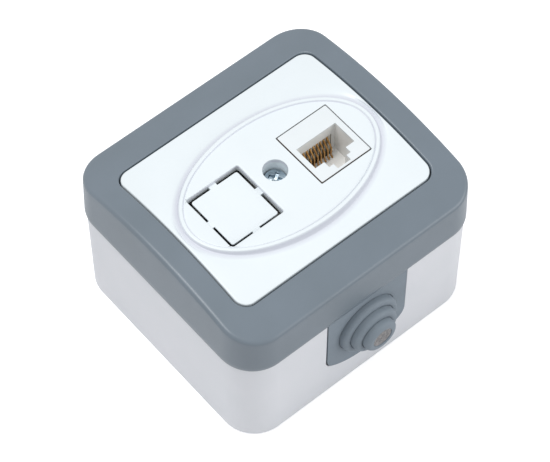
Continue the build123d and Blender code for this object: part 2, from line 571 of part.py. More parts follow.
def terminal_cap():
    outer = CAP_WALL + SEAT_GAP
    low = BLOCK_BOTTOM_Z - CAP_WALL
    body = slab(BLOCK_HALF_X + outer, BLOCK_HALF_Y + outer, CAP_CORNER, low, low + CAP_HEIGHT,
                MODULE_X, FIELD_Y)
    body -= slab(BLOCK_HALF_X + SEAT_GAP, BLOCK_HALF_Y + SEAT_GAP, BLOCK_CORNER, BLOCK_BOTTOM_Z, CLEAR_Z,
                 MODULE_X, FIELD_Y)
    for x, y in terminal_centres():
        side = 1 if y > FIELD_Y else -1
        edge_y = FIELD_Y + side * (BLOCK_HALF_Y + outer)
        body -= Pos(x, edge_y, low + CAP_HEIGHT) * Box(TERMINAL_SLOT, 4 * outer,
                                                       2 * (CAP_HEIGHT - CAP_WALL))
    return body


def build_all():
    nodes = {
        "mounting_box": mounting_box(),
        "cable_grommet": cable_grommet(),
        "box_seal": box_seal(),
        "frame": frame(),
        "cover_plate": cover_plate(),
        "cover_screw": cover_screw(),
        "threaded_insert": threaded_insert(),
        "carrier": carrier(),
        "carrier_screws": carrier_screws(),
        "jack_housing": jack_housing(),
        "contact_comb": comb_block(),
        "jack_board": jack_board(),
        "terminal_block": terminal_block(),
        "terminal_blades": terminal_blades(),
        "terminal_cap": terminal_cap(),
    }
    for index in range(CONTACTS):
        nodes[f"contact_spring_{index + 1}"] = contact_spring(index)
    return nodes


os.makedirs("parts", exist_ok=True)
for name, solid in build_all().items():
    export_step(solid, f"parts/{name}.step")
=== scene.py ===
"""Ethernet wall socket lying on its back: moulded plastics, rubber cable grommet and gold contacts."""

import json
import math

import bmesh
import bpy
import numpy as np
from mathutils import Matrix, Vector


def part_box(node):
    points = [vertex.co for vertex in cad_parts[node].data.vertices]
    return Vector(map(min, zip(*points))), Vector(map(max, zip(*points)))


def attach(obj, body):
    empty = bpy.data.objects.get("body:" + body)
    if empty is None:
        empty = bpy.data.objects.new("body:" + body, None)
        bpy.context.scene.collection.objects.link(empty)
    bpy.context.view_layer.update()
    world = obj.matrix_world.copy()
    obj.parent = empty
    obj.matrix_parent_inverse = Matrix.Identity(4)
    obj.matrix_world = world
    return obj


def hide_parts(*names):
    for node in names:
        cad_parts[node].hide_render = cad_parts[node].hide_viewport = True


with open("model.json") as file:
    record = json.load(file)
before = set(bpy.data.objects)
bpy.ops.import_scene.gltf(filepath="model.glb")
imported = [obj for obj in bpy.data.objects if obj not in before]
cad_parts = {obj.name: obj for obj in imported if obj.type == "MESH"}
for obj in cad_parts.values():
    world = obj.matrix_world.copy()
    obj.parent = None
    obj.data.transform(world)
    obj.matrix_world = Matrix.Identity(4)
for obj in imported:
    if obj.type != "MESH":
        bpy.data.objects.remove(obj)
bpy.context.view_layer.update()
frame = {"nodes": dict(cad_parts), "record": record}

MM = 0.001

# Camera, fitted to the edges of the socket in the photo
PHOTO_WIDTH = 550
FOCAL_PIXELS = 2612.3
SENSOR = 36.0
CAMERA_AZIMUTH = -40.09
CAMERA_ELEVATION = 56.92
CAMERA_DISTANCE = 595.22
CAMERA_AIM = (-7.527, -8.852, 38.230)

# All sizes are in millimetres. Frame and plate, as the solids have them
FACE_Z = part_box("jack_housing")[1].z / MM
CROWN_RADIUS = 118.0
FRAME_APEX = FACE_Z + 0.1
FRAME_HALF_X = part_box("frame")[1].x / MM
FRAME_HALF_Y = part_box("frame")[1].y / MM
FRAME_BOTTOM_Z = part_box("frame")[0].z / MM
FRAME_CORNER = 9.2
FRAME_DRAFT = math.tan(math.radians(1.5))
FRAME_EDGE_ROUND = 1.15
FRAME_LIP_ROUND = 0.4
FRAME_FOOT_ROUND = 0.2
FOOT_MIDDLE = 0.3
FRAME_TOP_WALL = 2.2
SKIRT_WALL = 1.4
RIB_OUTER = 1.75
RIB_INNER = 2.75
RIB_BOTTOM_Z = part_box("box_seal")[1].z / MM
PLATE_HALF_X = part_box("cover_plate")[1].x / MM
PLATE_HALF_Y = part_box("cover_plate")[1].y / MM
PLATE_CORNER = 3.2
PLATE_EDGE_ROUND = 0.35
PLATE_GAP = 0.4
PLATE_RIM_Z = FACE_Z - 4.6
COLLAR_WALL = 1.4
LEDGE_WIDTH = 2.0
LEDGE_WALL = 1.4

# Jack, its window and the knock-out, which mirror each other about the screw. The jack sits aside by its
# play, and the knock-out is drawn with a thin edge and grown a little into its slots
FIELD_Y = -1.5
MODULE_X = 13.25
JACK_CENTRE = np.array([MODULE_X, FIELD_Y])
JACK_HALF = np.array([7.4, 8.08])
JACK_CORNER = 0.4
JACK_PLAY = 0.16
WINDOW_GAP = 0.2
WINDOW_HALF = JACK_HALF + WINDOW_GAP
WINDOW_CORNER = 0.6
BLANK_SLOT = 1.05
BLANK_CENTRE = np.array([-MODULE_X, FIELD_Y])
BLANK_HALF = WINDOW_HALF - BLANK_SLOT
BLANK_CORNER = 0.5
BLANK_TOP_Z = FACE_Z - 1.0
BLANK_DEEPEST = 1.5
BLANK_RIM_ROUND = 0.36
BLANK_EDGE = 0.35
BLANK_GROWTH = 0.15
# Oval radius inside which the walls down to the knock-out get painted shade
BLANK_SHADE_R = 0.9
# Share of the way from the solid's round corners to square ones
CORNERS_DRAWN_OUT = 0.8
# The field holds all openings of the plate; the knock-out's recess lies in this part of it
OPENINGS_X = 21.5
OPENINGS_Y = 10.5
RECESS_END_X = -4.5
RECESS_HALF_Y = 8.6

# Crest of the bead, as its line runs in the photo
BEAD_X = 0.32
BEAD_Y = -1.35
BEAD_A = 26.2
BEAD_B = 16.0
# Offsets across the bead are counted from its crest, outwards
BEAD_START = -0.92
BEAD_FOOT = -0.68
BEAD_RISE = 0.34
BEAD_RISE_RUN = 0.4
BEAD_GROOVE = 0.1
BEAD_GROOVE_WIDTH = 0.1
BEAD_SHOULDER = 0.38
BEAD_SLOPE = 2.4
BEAD_SOFTNESS = 0.14
BEAD_DIP = 0.4
BEAD_DIP_RUN = 0.6
FLANK_BLEND = 0.22
FLANK_BLEND_START = 0.3
FLANK_BLEND_RUN = 0.5
FLANK_END = 1.7
FLANK_FADE = 1.4

# Cable grommet: its plate in the box wall, and the three rings of its cone from plate to tip
CABLE_GAP = 0.25
GATE_HALF = 12.0
GATE_BACK_Y = -29.6
CONE_CLEARANCE = 8.7
CONE_X = 0.3
CONE_Z = 19.9
CONE_RADII = (8.4, 6.6, 4.7)
CONE_STEP = 1.93
CONE_FRONT = 32.4
CONE_CUT = CONE_FRONT + 0.01
CONE_TIP = CONE_FRONT + 3 * CONE_STEP
CONE_SIDE_SINK = 0.14
CONE_SHOULDER = 1.15
GROOVE_DEPTH = 0.3
GROOVE_ROUND = 0.1
CONE_WALL = 1.2
TIP_RECESS_RADIUS = 2.7
TIP_RECESS_DEPTH = 0.36
TIP_EDGE_ROUND = 0.12
TIP_SWELL = 0.09

# Cover screw, with the angle at which its rim takes over from the dome
SCREW_RADIUS = 2.75
SCREW_DOME_RADIUS = 7.5
SCREW_RIM_ROUND = 0.45
SCREW_RIM_START = 0.35
SCREW_POINT = 0.4
SCREW_TOP_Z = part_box("cover_screw")[1].z / MM
SCREW_HEAD_HEIGHT = 1.8
SCREW_SHANK_RADIUS = 1.45
SCREW_BOTTOM_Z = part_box("cover_screw")[0].z / MM
CROSS_SPAN = 3.2
CROSS_WIDTH = 0.9
CROSS_DEPTH = 1.1
CROSS_FLOOR_RISE = 0.45
CROSS_WALL_RUN = 0.14
CROSS_TURN = math.radians(30)

# Contact springs in the plug opening
PORT_X = MODULE_X - 0.03
PORT_TOP_Y = 1.25
CONTACTS = 8
CONTACT_PITCH = 1.02
CONTACT_BEND = 0.45
CONTACT_LEAN = 0.05
CONTACT_FREE_FROM = 0.6
# (y, z) of the bent run, and (across, deep) round the strip's section with its broken corners
CONTACT_RUN = ((1.35, -14.6), (1.35, -3.85), (0.4, -3.85), (-1.5, -6.4), (-1.5, -9.1), (-2.2, -9.6))
CONTACT_SECTION = ((-0.2, -0.08), (-0.14, -0.14), (0.14, -0.14), (0.2, -0.08),
                   (0.2, 0.08), (0.14, 0.14), (-0.14, 0.14), (-0.2, 0.08))

# How finely the computed surfaces are drawn
SIDE_POINTS = 48
CORNER_POINTS = 16
EDGE_STEPS = 9
SKIRT_LOOPS = 8
TOP_LOOPS = 12
BEAD_LOOPS = 48
SCREW_COLUMNS = 192
CONTACT_STEPS = 90
# Points closer than MERGED become one. NEARBY is the slack when a region of a solid is picked
MERGED = 0.002
NEARBY = 0.02

# Studio, where the floor's half side is in metres and its drop below the socket in millimetres
AMBIENT_STRENGTH = 0.53
FLOOR_GLOW = 0.45
FLOOR_HALF = 1.5
FLOOR_DROP = 0.02


def colour(hex_value):
    """sRGB hex to the linear values that a shader takes."""
    channels = [int(hex_value[i:i + 2], 16) / 255 for i in (1, 3, 5)]
    linear = [c / 12.92 if c <= 0.04045 else ((c + 0.055) / 1.055) ** 2.4 for c in channels]
    return (*linear, 1.0)


def add(tree, kind, values=None, links=None, stops=(), **settings):
    """One shader node with its settings, input values, incoming links and, for a ramp, its stops."""
    made = tree.nodes.new(kind)
    for name, value in settings.items():
        setattr(made, name, value)
    for stop, (position, tone) in enumerate(stops):
        if stop > 1:
            made.color_ramp.elements.new(position)
        made.color_ramp.elements[stop].position = position
        made.color_ramp.elements[stop].color = tone
    for socket, value in (values or {}).items():
        made.inputs[socket].default_value = value
    for socket, source in (links or {}).items():
        tree.links.new(source, made.inputs[socket])
    return made


def new_material(name):
    """An empty material with its output, its surface shader and the object's own coordinates."""
    material = bpy.data.materials.new(name)
    material.use_nodes = True
    tree = material.node_tree
    tree.nodes.clear()
    surface = add(tree, "ShaderNodeBsdfPrincipled")
    add(tree, "ShaderNodeOutputMaterial", links={"Surface": surface.outputs["BSDF"]})
    place = add(tree, "ShaderNodeTexCoord").outputs["Object"]
    return material, tree, surface, place


def moulded_plastic(name, light, dark, roughness, grain_mm, grain_depth_mm, patch_mm=14.0, ior=1.53,
                    roughness_swing=0.06):
    """Injection-moulded plastic: its tone drifts a little along the flow and the tool's texture shows.

    A slow cloud a few millimetres wide drives the tone, and a fine cloud of the grain's real width
    drives both the relief and the small changes of roughness.
    """
    material, tree, surface, place = new_material(name)
    flow = add(tree, "ShaderNodeTexNoise", {"Scale": 1 / (patch_mm * MM), "Detail": 3.0},
               {"Vector": place})
    grain = add(tree, "ShaderNodeTexNoise",
                {"Scale": 1 / (grain_mm * MM), "Detail": 2.0, "Roughness": 0.6}, {"Vector": place})
    shine = add(tree, "ShaderNodeMapRange", {"To Min": roughness - roughness_swing,
                                             "To Max": roughness + roughness_swing},
                {"Value": grain.outputs["Fac"]})
    relief = add(tree, "ShaderNodeBump", {"Strength": 1.0, "Distance": grain_depth_mm * MM},
                 {"Height": grain.outputs["Fac"]})
    tone = add(tree, "ShaderNodeValToRGB", links={"Fac": flow.outputs["Fac"]},
               stops=((0.3, colour(dark)), (0.7, colour(light))))
    tree.links.new(tone.outputs["Color"], surface.inputs["Base Color"])
    tree.links.new(shine.outputs["Result"], surface.inputs["Roughness"])
    tree.links.new(relief.outputs["Normal"], surface.inputs["Normal"])
    surface.inputs["IOR"].default_value = ior
    return material


def plated_metal(name, light, dark, roughness, patch_mm, scratch_mm, metallic=1.0):
    """Plated metal: the plating's tone clouds a little and fine tool marks break up the shine."""
    material, tree, surface, place = new_material(name)
    cloud = add(tree, "ShaderNodeTexNoise", {"Scale": 1 / (patch_mm * MM), "Detail": 3.0},
                {"Vector": place})
    marks = add(tree, "ShaderNodeTexNoise",
                {"Scale": 1 / (scratch_mm * MM), "Detail": 4.0, "Roughness": 0.7}, {"Vector": place})
    shine = add(tree, "ShaderNodeMapRange", {"To Min": roughness * 0.7, "To Max": roughness * 1.3},
                {"Value": marks.outputs["Fac"]})
    relief = add(tree, "ShaderNodeBump", {"Strength": 0.6, "Distance": 0.01 * MM},
                 {"Height": marks.outputs["Fac"]})
    tone = add(tree, "ShaderNodeValToRGB", links={"Fac": cloud.outputs["Fac"]},
               stops=((0.35, colour(dark)), (0.65, colour(light))))
    tree.links.new(tone.outputs["Color"], surface.inputs["Base Color"])
    tree.links.new(shine.outputs["Result"], surface.inputs["Roughness"])
    tree.links.new(relief.outputs["Normal"], surface.inputs["Normal"])
    surface.inputs["Metallic"].default_value = metallic
    return material


def cover_plastic():
    """Near-white ABS of the plate, with painted lilac shade where its own forms keep the light off.

    The radial distance from the bead's crest is L - L / r, with L the length of (x, y) from the
    bead's centre and r the length of (x / A, y / B). Two ranges of it, at the bead's inner foot and
    down its outer flank, get painted shade, and so do the walls between the flat field and the
    knock-out, where r is small.
    """
    material = moulded_plastic("cover_abs", "#E5ECEF", "#E2E9EC", 0.34, 1.2, 0.006, 20.0)
    tree = material.node_tree
    surface = tree.nodes["Principled BSDF"]
    moulded = surface.inputs["Base Color"].links[0].from_socket
    untoned = (1, 1, 1, 1)
    place = add(tree, "ShaderNodeTexCoord").outputs["Object"]
    centred = add(tree, "ShaderNodeVectorMath", {1: (BEAD_X * MM, BEAD_Y * MM, 0)}, {0: place},
                  operation="SUBTRACT")
    flat = add(tree, "ShaderNodeVectorMath", {1: (1, 1, 0)}, {0: centred.outputs[0]},
               operation="MULTIPLY")
    length = add(tree, "ShaderNodeVectorMath", links={0: flat.outputs[0]}, operation="LENGTH")
    scaled = add(tree, "ShaderNodeVectorMath", {1: (BEAD_A * MM, BEAD_B * MM, 1)},
                 {0: flat.outputs[0]}, operation="DIVIDE")
    oval = add(tree, "ShaderNodeVectorMath", links={0: scaled.outputs[0]}, operation="LENGTH")
    crest = add(tree, "ShaderNodeMath", operation="DIVIDE",
                links={0: length.outputs["Value"], 1: oval.outputs["Value"]})
    past = add(tree, "ShaderNodeMath", operation="SUBTRACT",
               links={0: length.outputs["Value"], 1: crest.outputs[0]})
    across = add(tree, "ShaderNodeMapRange", {"From Min": -1.5 * MM, "From Max": 2.5 * MM},
                 {"Value": past.outputs[0]})
    # Painted shade across the bead: a strip at its inner foot and a wider one down its outer flank
    bead_shade_ramp = add(tree, "ShaderNodeValToRGB", links={"Fac": across.outputs["Result"]},
                stops=((0.155, untoned), (0.21, colour("#EAE6EE")), (0.27, untoned),
                       (0.45, untoned), (0.54, colour("#E6E2EA")), (0.66, colour("#EDEAF0")),
                       (0.95, untoned)))
    # Painted lilac shade on the walls from the flat field down to the knock-out
    inside = add(tree, "ShaderNodeMapRange",
                 {"From Min": BLANK_SHADE_R, "From Max": 0.96, "To Min": 1.0, "To Max": 0.0},
                 {"Value": oval.outputs["Value"]})
    height = add(tree, "ShaderNodeSeparateXYZ", links={"Vector": place}).outputs["Z"]
    below_field = add(tree, "ShaderNodeMapRange",
                      {"From Min": (FACE_Z - 0.9) * MM, "From Max": (FACE_Z - 0.1) * MM,
                       "To Min": 1.0, "To Max": 0.0}, {"Value": height})
    above_blank = add(tree, "ShaderNodeMapRange",
                      {"From Min": (BLANK_TOP_Z + 0.02) * MM, "From Max": (BLANK_TOP_Z + 0.12) * MM},
                      {"Value": height})
    wall = add(tree, "ShaderNodeMath", operation="MULTIPLY",
               links={0: above_blank.outputs["Result"], 1: below_field.outputs["Result"]})
    wall_shade_mask = add(tree, "ShaderNodeMath", operation="MULTIPLY",
               links={0: inside.outputs["Result"], 1: wall.outputs[0]})
    walls = add(tree, "ShaderNodeMix", {"A": untoned, "B": colour("#F1E9F3")},
                {"Factor": wall_shade_mask.outputs[0]}, data_type="RGBA")
    banded = add(tree, "ShaderNodeMix", {"Factor": 1.0}, {"A": moulded, "B": bead_shade_ramp.outputs["Color"]},
                 data_type="RGBA", blend_type="MULTIPLY")
    toned = add(tree, "ShaderNodeMix", {"Factor": 1.0},
                {"A": banded.outputs["Result"], "B": walls.outputs["Result"]},
                data_type="RGBA", blend_type="MULTIPLY")
    tree.links.new(toned.outputs["Result"], surface.inputs["Base Color"])
    return material


def jack_plastic():
    """Ivory ABS of the jack: cool on its face, with painted bounce light warmer down in the plug
    opening.

    The painted tone follows the depth below the face in the object's own coordinates, standing in for
    light bouncing between ivory walls, over a faint moulding haze. Painted shade darkens the outer
    walls below the face, in the gap round the jack; they lie past the larger of |x| - half width and
    |y| - half length.
    """
    material, tree, surface, place = new_material("jack_abs")
    axes = add(tree, "ShaderNodeSeparateXYZ", links={"Vector": place})
    face = add(tree, "ShaderNodeMapRange",
               {"From Min": (FACE_Z - 0.5) * MM, "From Max": (FACE_Z - 0.12) * MM},
               {"Value": axes.outputs["Z"]})
    haze = add(tree, "ShaderNodeTexNoise", {"Scale": 1 / (6 * MM), "Detail": 3.0}, {"Vector": place})
    # Painted bounce light: a warmer ivory deep in the plug opening than on the face
    bounced = add(tree, "ShaderNodeValToRGB", links={"Fac": haze.outputs["Fac"]},
                  stops=((0.3, colour("#E6E6E3")), (0.7, colour("#ECECEA"))))
    shown = add(tree, "ShaderNodeValToRGB", links={"Fac": haze.outputs["Fac"]},
                stops=((0.3, colour("#E0E6E8")), (0.7, colour("#E4E9EB"))))
    beyond = []
    for axis, middle, half in zip("XY", JACK_CENTRE, JACK_HALF):
        offset = add(tree, "ShaderNodeMath", {1: middle * MM}, {0: axes.outputs[axis]},
                     operation="SUBTRACT")
        reach = add(tree, "ShaderNodeMath", links={0: offset.outputs[0]}, operation="ABSOLUTE")
        beyond.append(add(tree, "ShaderNodeMath", {1: (half - 0.5) * MM}, {0: reach.outputs[0]},
                          operation="SUBTRACT"))
    outside = add(tree, "ShaderNodeMath", operation="MAXIMUM",
                  links={0: beyond[0].outputs[0], 1: beyond[1].outputs[0]})
    outer_wall_share = add(tree, "ShaderNodeMapRange", {"From Max": 0.1 * MM}, {"Value": outside.outputs[0]})
    below = add(tree, "ShaderNodeMapRange",
                {"From Min": (FACE_Z - 0.14) * MM, "From Max": (FACE_Z - 0.04) * MM,
                 "To Min": 1.0, "To Max": 0.0}, {"Value": axes.outputs["Z"]})
    painted_gap_shade = add(tree, "ShaderNodeMath", operation="MULTIPLY",
                  links={0: outer_wall_share.outputs["Result"], 1: below.outputs["Result"]})
    before_gap_shade = add(tree, "ShaderNodeMix", data_type="RGBA",
                links={"Factor": face.outputs["Result"], "A": bounced.outputs["Color"],
                       "B": shown.outputs["Color"]})
    # Painted shade: dark brown on the outer walls below the face, in the narrow gap round the jack
    tone = add(tree, "ShaderNodeMix", {"B": colour("#6A5A50")},
               {"Factor": painted_gap_shade.outputs[0], "A": before_gap_shade.outputs["Result"]}, data_type="RGBA")
    grain = add(tree, "ShaderNodeTexNoise", {"Scale": 1 / (0.9 * MM), "Detail": 2.0}, {"Vector": place})
    shine = add(tree, "ShaderNodeMapRange", {"To Min": 0.3, "To Max": 0.42},
                {"Value": grain.outputs["Fac"]})
    relief = add(tree, "ShaderNodeBump", {"Strength": 1.0, "Distance": 0.006 * MM},
                 {"Height": grain.outputs["Fac"]})
    tree.links.new(tone.outputs["Result"], surface.inputs["Base Color"])
    tree.links.new(shine.outputs["Result"], surface.inputs["Roughness"])
    tree.links.new(relief.outputs["Normal"], surface.inputs["Normal"])
    surface.inputs["IOR"].default_value = 1.53
    return material


def make_materials():
    """One material for each slot of the record, and one for the rough tip of the grommet."""
    return {
        # ABS with a fine spark-eroded texture: matt, cool grey-white
        "box_abs": moulded_plastic("box_abs", "#DCDDE1", "#D8DADE", 0.5, 0.35, 0.012),
        # ABS in blue-grey: a very shallow eroded texture, so that the whole frame has a satin shine
        "frame_abs": moulded_plastic("frame_abs", "#707B85", "#6B767F", 0.33, 0.4, 0.006,
                                     roughness_swing=0.03),
        # Thermoplastic rubber: dull, with a soft skin
        "grommet_rubber": moulded_plastic("grommet_rubber", "#7D8892", "#78838C", 0.6, 0.5, 0.03, 8.0,
                                          1.52),
        # The same rubber where the tool was left rough: grainy and a little warmer
        "grommet_tip": moulded_plastic("grommet_tip", "#ACA7A7", "#878889", 0.8, 0.45, 0.5, 0.7, 1.52,
                                       roughness_swing=0.1),
        # Foamed rubber cord: nearly black, fully dull
        "seal_rubber": moulded_plastic("seal_rubber", "#3A3A3C", "#303032", 0.8, 0.6, 0.06, 5.0, 1.52),
        # ABS from a finely polished tool: near white, satin, with the faint waviness of a thin wall;
        # painted shade on the bead and on the walls down to the knock-out
        "cover_abs": cover_plastic(),
        # Zinc-plated and blue-passivated steel: bluish, softly mirrored
        "zinc_steel": plated_metal("zinc_steel", "#C6D3DB", "#93A2AC", 0.32, 1.5, 0.12),
        # Turned brass: yellow, with fine turning marks
        "brass": plated_metal("brass", "#C9A65A", "#B08E48", 0.3, 1.5, 0.2),
        # Natural polyamide: slightly yellow and milky
        "carrier_nylon": moulded_plastic("carrier_nylon", "#E4E3DD", "#DCDBD4", 0.5, 0.5, 0.01),
        # Ivory ABS with painted bounce light deep in the plug opening and painted shade in the gap round
        # the jack
        "jack_abs": jack_plastic(),
        # Glass-filled polyamide comb: warm grey, matt
        "comb_nylon": moulded_plastic("comb_nylon", "#CFC9BC", "#C2BBAC", 0.5, 0.4, 0.01, 4.0),
        # Epoxy glass laminate under green solder resist
        "board_laminate": moulded_plastic("board_laminate", "#2E6B45", "#27603D", 0.4, 0.6, 0.01),
        # Tinned bronze terminals: soft grey metal
        "tinned_bronze": plated_metal("tinned_bronze", "#C8C5BC", "#B4B1A8", 0.35, 1.0, 0.15),
        # Gold-flashed bronze wire: tan gold, worn matt
        "gold_wire": plated_metal("gold_wire", "#CFA062", "#A97B42", 0.5, 0.8, 0.1, 0.7),
    }


def rounded_outline(half_x, half_y, corner):
    """Rounded rectangle: a closed loop of points and their outward normals.

    Each side is an even run between two corner centres, each corner is centre + corner * (cos, sin) over
    a quarter turn, and every such loop has the same number of points in the same order.
    """
    along = np.arange(SIDE_POINTS)[:, None] / SIDE_POINTS * 2 - 1
    turn = np.arange(CORNER_POINTS)[:, None] / CORNER_POINTS * np.pi / 2
    points = []
    normals = []
    for quarter in range(4):
        heading = (quarter - 1) * np.pi / 2
        out = np.round([math.cos(heading), math.sin(heading)])
        forward = np.array([-out[1], out[0]])
        reach = abs(out[0]) * half_x + abs(out[1]) * half_y
        length = abs(forward[0]) * half_x + abs(forward[1]) * half_y - corner
        round_normal = np.hstack([np.cos(heading + turn), np.sin(heading + turn)])
        points.append(out * reach + forward * length * along)
        points.append(out * (reach - corner) + forward * length + corner * round_normal)
        normals.append(np.repeat(out[None], SIDE_POINTS, axis=0))
        normals.append(round_normal)
    return np.vstack(points), np.vstack(normals)


def crown(y, apex, inset=0.0):
    """Height of the bowed face: the top of a circle about an axis along X, radius less the inset."""
    return apex - CROWN_RADIUS + np.sqrt((CROWN_RADIUS - inset) ** 2 - y ** 2)


def crown_normal(y):
    """Outward normal of the bowed face: the line from the circle's axis, (0, y, height) / radius."""
    return np.column_stack([np.zeros_like(y), y, np.sqrt(CROWN_RADIUS ** 2 - y ** 2)]) / CROWN_RADIUS


def at_height(outline, z):
    """The outline's loop at one height, or at a height for each of its points."""
    return np.column_stack([outline, np.broadcast_to(z, len(outline))])


def between(first, last, count):
    """Loops evenly spaced between two loops, the ends left out: first + share * (last - first)."""
    shares = np.arange(1, count + 1)[:, None, None] / (count + 1)
    return list(first + shares * (last - first))


def rolled_edge(corner, first_normal, last_normal, radius):
    """Loops of an edge rounded by a rolling ball where two surfaces meet in the corner loop.

    The ball's centre is corner - radius * (n1 + n2) / (1 + n1.n2), and each loop is the centre plus the
    radius times a normal that turns evenly from n1 to n2.
    """
    cosine = np.sum(first_normal * last_normal, axis=1, keepdims=True)
    centre = corner - radius * (first_normal + last_normal) / (1 + cosine)
    angle = np.arccos(np.clip(cosine, -1, 1))
    share = np.linspace(0, 1, EDGE_STEPS)[:, None, None]
    turned = np.sin((1 - share) * angle) * first_normal + np.sin(share * angle) * last_normal
    return list(centre + radius * turned / np.sin(angle))


def smooth_step(value):
    """0 below 0, 1 above 1, and 3t^2 - 2t^3 between."""
    t = np.clip(value, 0, 1)
    return t * t * (3 - 2 * t)


def skin(loops, closed=False):
    """Points and quads of the surface through loops of equal length.

    If closed, the last loop is joined to the first.
    """
    grid = np.stack(loops)
    rows, columns = grid.shape[:2]
    index = np.arange(rows * columns).reshape(rows, columns)
    ahead = np.roll(index, -1, axis=1)
    upper = np.roll(index, -1, axis=0)
    upper_ahead = np.roll(ahead, -1, axis=0)
    quads = np.stack([index, ahead, upper_ahead, upper], axis=-1)
    if not closed:
        quads = quads[:-1]
    return grid.reshape(-1, 3), quads.reshape(-1, 4)


def revolved(profile, centre_x, centre_z, columns=128):
    """Surface of revolution about a line along Y.

    Each (r, y) of the profile becomes the loop (x + r cos a, y, z + r sin a).
    """
    angle = np.arange(columns) / columns * 2 * np.pi
    x, z = np.cos(angle), np.sin(angle)
    return skin([np.column_stack([centre_x + r * x, np.full(columns, y), centre_z + r * z])
                 for r, y in profile])


def add_surface(work, points, quads):
    """Puts points in millimetres and their quads into a bmesh."""
    mesh = bpy.data.meshes.new("surface")
    mesh.from_pydata((np.asarray(points, float) * MM).tolist(), [], quads.tolist())
    surface = bmesh.new()
    surface.from_mesh(mesh)
    bmesh.ops.remove_doubles(surface, verts=surface.verts, dist=MERGED * MM)
    bmesh.ops.recalc_face_normals(surface, faces=surface.faces)
    surface.to_mesh(mesh)
    surface.free()
    work.from_mesh(mesh)
    bpy.data.meshes.remove(mesh)


def merged_node(node, *rules):
    """A bmesh of a solid, its points moved by each rule in turn and its loose triangles joined."""
    mesh = frame["nodes"][node].data.copy()
    flat = np.empty(len(mesh.vertices) * 3)
    mesh.vertices.foreach_get("co", flat)
    points = flat.reshape(-1, 3) / MM
    for rule in rules:
        rule(points)
    mesh.vertices.foreach_set("co", (points * MM).ravel())
    work = bmesh.new()
    work.from_mesh(mesh)
    bpy.data.meshes.remove(mesh)
    bmesh.ops.remove_doubles(work, verts=work.verts, dist=MERGED * MM)
    bmesh.ops.dissolve_degenerate(work, edges=work.edges, dist=MERGED * MM)
    return work


def finish_piece(name, work, smooth_angle=35.0):
    """The bmesh as an object at the origin, smooth except at edges above the angle."""
    limit = math.radians(smooth_angle)
    for face in work.faces:
        face.smooth = True
    for edge in work.edges:
        edge.smooth = len(edge.link_faces) == 2 and edge.calc_face_angle(0) < limit
    mesh = bpy.data.meshes.new(name)
    work.to_mesh(mesh)
    work.free()
    piece = bpy.data.objects.new(name, mesh)
    bpy.context.scene.collection.objects.link(piece)
    return piece


def broken_edges(piece, width_mm):
    """A fine round on the edges sharper than 50 degrees, as every moulded edge has."""
    edge = piece.modifiers.new("edge", "BEVEL")
    edge.width = width_mm * MM
    edge.segments = 2
    edge.limit_method = "ANGLE"
    edge.harden_normals = True
    edge.angle_limit = math.radians(50)


def dress(piece, material, slot, *nodes):
    """Gives a piece its material and its body, and hides the solids that it stands for."""
    piece.data.materials.clear()
    piece.data.materials.append(material)
    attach(piece, "root")
    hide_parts(*nodes)


def squared(points, centre, half, corner):
    """Draws the arcs of a rounded outline out towards its square corners.

    On an arc, the offset from its centre is stretched by 1 + share * (corner / larger offset - 1).
    """
    straight = half - corner
    side = np.sign(points[:, :2] - centre)
    offset = np.abs(points[:, :2] - centre) - straight
    off_arc = np.abs(np.hypot(offset[:, 0], offset[:, 1]) - corner)
    on_arc = (offset > 0).all(axis=1) & (off_arc < 0.03)
    stretch = 1 + CORNERS_DRAWN_OUT * (corner / offset[on_arc].max(axis=1, keepdims=True) - 1)
    points[on_arc, :2] = centre + side[on_arc] * (straight + offset[on_arc] * stretch)


def jack_window_squared(points):
    """Squares the corners of the plate's window for the jack."""
    squared(points, JACK_CENTRE, WINDOW_HALF, WINDOW_CORNER)


def jack_outline_squared(points):
    """Squares the upright corners of the jack."""
    squared(points, JACK_CENTRE, JACK_HALF, JACK_CORNER)


def jack_seated_aside(points):
    """Draws the jack's -X and -Y walls in, as it sits towards the far corner of its window."""
    near_wall = points[:, :2] < JACK_CENTRE - JACK_HALF + JACK_CORNER + NEARBY
    points[:, :2] += np.where(near_wall, JACK_PLAY, 0)


def on_blank(points, below):
    """True for the points of the knock-out that lie under the given height."""
    over = (np.abs(points[:, :2] - BLANK_CENTRE) < BLANK_HALF + NEARBY).all(axis=1)
    return over & (points[:, 2] < below) & (points[:, 2] > BLANK_TOP_Z - BLANK_DEEPEST)


def blank_edge_thinned(points):
    """Thins the knock-out's rim from below to an edge, so that its slots look into the dark."""
    points[on_blank(points, BLANK_TOP_Z - 0.1), 2] = BLANK_TOP_Z - BLANK_EDGE


def blank_grown(points):
    """Moves the knock-out's four edges outwards, so that its slots are as narrow as they look."""
    offset = points[:, :2] - BLANK_CENTRE
    at_edge = np.abs(offset) > BLANK_HALF - BLANK_CORNER - NEARBY
    moved = on_blank(points, BLANK_TOP_Z + NEARBY)[:, None] & at_edge
    points[:, :2] += np.where(moved, np.sign(offset) * BLANK_GROWTH, 0)


def grommet_drawn_in(points):
    """Draws the -X edge of the grommet's plate in, by a share that grows to the gap at the edge."""
    plate = (points[:, 1] < GATE_BACK_Y) & (points[:, 1] > -CONE_CUT)
    share = np.clip((CONE_X - CONE_CLEARANCE - points[:, 0]) / (GATE_HALF - CONE_CLEARANCE), 0, 1)
    points[plate, 0] += CABLE_GAP * share[plate]


